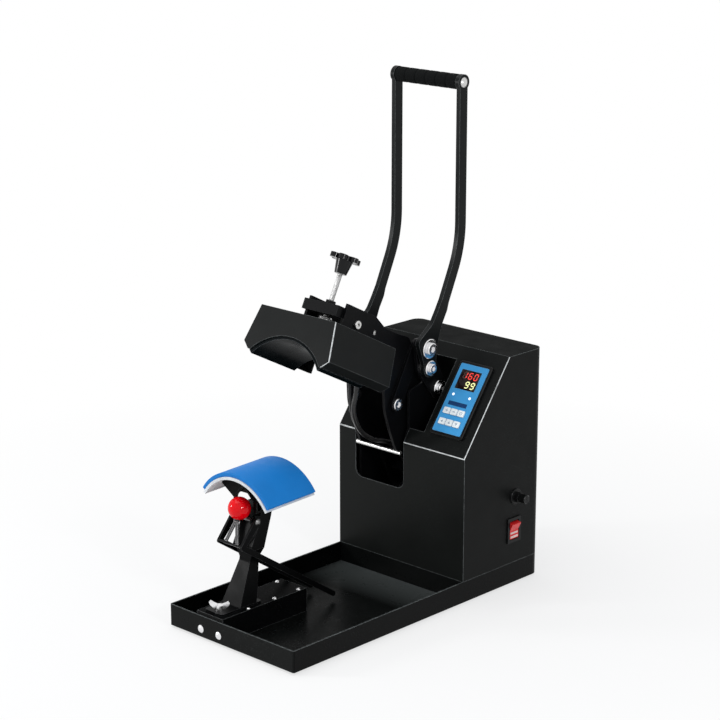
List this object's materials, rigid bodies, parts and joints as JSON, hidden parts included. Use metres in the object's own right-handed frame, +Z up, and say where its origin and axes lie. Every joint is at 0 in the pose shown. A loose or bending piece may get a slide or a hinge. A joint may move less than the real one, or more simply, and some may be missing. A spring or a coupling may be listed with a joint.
{
  "type": "cap heat press",
  "caption": "Clamshell cap heat press with a curved head on a toggle-driven swing arm, curved lower platen, hold-down bail, pressure screw and sloped control panel.",
  "frame": {"origin": "on the bench under the middle of the base tray", "axes": "+Z up, -Y towards the operator and the lower platen, +X to the operator's right, towards the switch and fuse"},
  "size_m": [0.308, 0.5934, 0.85],
  "materials": {
    "case_paint": "fine matte black powder coat",
    "frame_paint": "satin black paint",
    "bright_steel": "zinc plated",
    "chrome_bolt": "polished",
    "rail_steel": "satin light grey",
    "black_rubber": "matte",
    "black_plastic": "matte",
    "blue_silicone": "matte silicone",
    "white_shell": "white coated sheet",
    "plate_coat": "dark non-stick coat",
    "heater_silicone": "matte silicone mat",
    "wool": "fibre blanket",
    "red_ball": "gloss",
    "red_switch": "translucent gloss",
    "panel_blue": "satin membrane",
    "panel_dark": "tinted window",
    "key_white": "satin",
    "board_green": "solder mask"
  },
  "bodies": {
    "base": {"base_tray": "case_paint", "rubber_feet": "black_rubber", "case_screws": "chrome_bolt", "mounting_rail": "rail_steel", "stand_column": "frame_paint", "column_head": "frame_paint", "hold_down_pin": "bright_steel", "platen_yoke": "frame_paint", "platen_shell": "white_shell", "platen_pad": "blue_silicone", "platen_clip": "chrome_bolt", "housing_cover": "case_paint", "rear_panel": "case_paint", "power_inlet": "black_plastic", "frame_plates": "frame_paint", "frame_fittings": "bright_steel", "arm_pivot_shaft": "bright_steel", "handle_pivot_bolts": "chrome_bolt", "return_springs": "bright_steel", "terminal_block": "black_plastic", "solid_state_relay": "black_plastic", "inner_harness": "black_rubber", "controller_bezel": "black_plastic", "control_board": "board_green", "controller_face": "panel_blue", "panel_lenses": "panel_dark", "rocker_bezel": "black_plastic", "fuse_holder": "black_plastic"},
    "arm": {"arm_plates": "frame_paint", "arm_crossbars": "frame_paint", "arm_rods": "chrome_bolt", "pressure_bridge": "frame_paint", "head_cables": "black_rubber"},
    "head": {"head_cover": "case_paint", "heating_platen": "plate_coat", "heating_element": "heater_silicone", "insulation": "wool", "head_carrier": "frame_paint", "cable_glands": "black_plastic"},
    "knob": {"star_knob": "black_plastic", "pressure_screw": "bright_steel"},
    "handle": {"handle_bars": "frame_paint", "crank_plates": "frame_paint", "grip_rod": "bright_steel", "foam_grip": "black_rubber", "root_bolts": "chrome_bolt"},
    "links": {"toggle_links": "frame_paint", "link_bolts": "chrome_bolt"},
    "hold_down": {"holddown_bail": "frame_paint", "holddown_lever": "chrome_bolt", "holddown_ball": "red_ball"},
    "wing": {"wing_bolt": "chrome_bolt"},
    "rocker": {"rocker_button": "red_switch"},
    "fuse": {"fuse_cap": "black_plastic"},
    "key_1_body": {"key_1": "key_white"},
    "key_2_body": {"key_2": "key_white"},
    "key_3_body": {"key_3": "key_white"},
    "key_4_body": {"key_4": "key_white"},
    "key_5_body": {"key_5": "key_white"},
    "key_6_body": {"key_6": "key_white"}
  },
  "joints": [
    {"name": "handle_swing", "type": "hinge", "parent": "base", "child": "handle", "pos_m": [-0.048, 0.1755, 0.3304], "axis": [1, 0, 0], "range_deg": [0, 91]},
    {"name": "arm_swing", "type": "hinge", "parent": "base", "child": "arm", "pos_m": [-0.048, 0.1955, 0.1271], "axis": [1, 0, 0], "range_deg": [0, 28.8], "stiffness_Nm_per_rad": 16, "springref_deg": -51.57, "deforming": ["return_springs"]},
    {"name": "link_swing", "type": "hinge", "parent": "handle", "child": "links", "pos_m": [-0.048, 0.1361, 0.4078], "axis": [1, 0, 0], "range_deg": [-124.6, 0]},
    {"name": "knob_turn", "type": "hinge", "parent": "head", "child": "knob", "pos_m": [-0.048, -0.06307, 0.41267], "axis": [0, 0.4555, 0.8902], "range_deg": [0, 720]},
    {"name": "head_slide", "type": "slide", "parent": "arm", "child": "head", "axis": [0, -0.4555, -0.8902], "range_m": [0, 0.004]},
    {"name": "holddown_swing", "type": "hinge", "parent": "base", "child": "hold_down", "pos_m": [-0.048, -0.212, 0.186], "axis": [1, 0, 0], "range_deg": [0, 18]},
    {"name": "wing_bolt_turn", "type": "hinge", "parent": "base", "child": "wing", "pos_m": [-0.048, -0.271, 0.049], "axis": [0, 0, 1], "range_deg": [0, 360]},
    {"name": "rocker_tilt", "type": "hinge", "parent": "base", "child": "rocker", "pos_m": [0.137, 0.2245, 0.0985], "axis": [0, -1, 0], "range_deg": [0, 24]},
    {"name": "fuse_cap_turn", "type": "hinge", "parent": "base", "child": "fuse", "pos_m": [0.151, 0.228, 0.156], "axis": [1, 0, 0], "range_deg": [0, 90]},
    {"name": "key_1_press", "type": "slide", "parent": "base", "child": "key_1_body", "axis": [0, 0.804, -0.5946], "range_m": [0, 0.0008], "stiffness_N_per_m": 400, "springref_m": -0.0005},
    {"name": "key_2_press", "type": "slide", "parent": "base", "child": "key_2_body", "axis": [0, 0.804, -0.5946], "range_m": [0, 0.0008], "stiffness_N_per_m": 400, "springref_m": -0.0005},
    {"name": "key_3_press", "type": "slide", "parent": "base", "child": "key_3_body", "axis": [0, 0.804, -0.5946], "range_m": [0, 0.0008], "stiffness_N_per_m": 400, "springref_m": -0.0005},
    {"name": "key_4_press", "type": "slide", "parent": "base", "child": "key_4_body", "axis": [0, 0.804, -0.5946], "range_m": [0, 0.0008], "stiffness_N_per_m": 400, "springref_m": -0.0005},
    {"name": "key_5_press", "type": "slide", "parent": "base", "child": "key_5_body", "axis": [0, 0.804, -0.5946], "range_m": [0, 0.0008], "stiffness_N_per_m": 400, "springref_m": -0.0005},
    {"name": "key_6_press", "type": "slide", "parent": "base", "child": "key_6_body", "axis": [0, 0.804, -0.5946], "range_m": [0, 0.0008], "stiffness_N_per_m": 400, "springref_m": -0.0005}
  ],
  "couplings": [
    {"joint": "arm_swing", "follows": "handle_swing", "ratio": 0.31648},
    {"joint": "link_swing", "follows": "handle_swing", "ratio": -1.368},
    {"joint": "knob_turn", "follows": "head_slide", "rad_per_m": 3141.6}
  ]
}
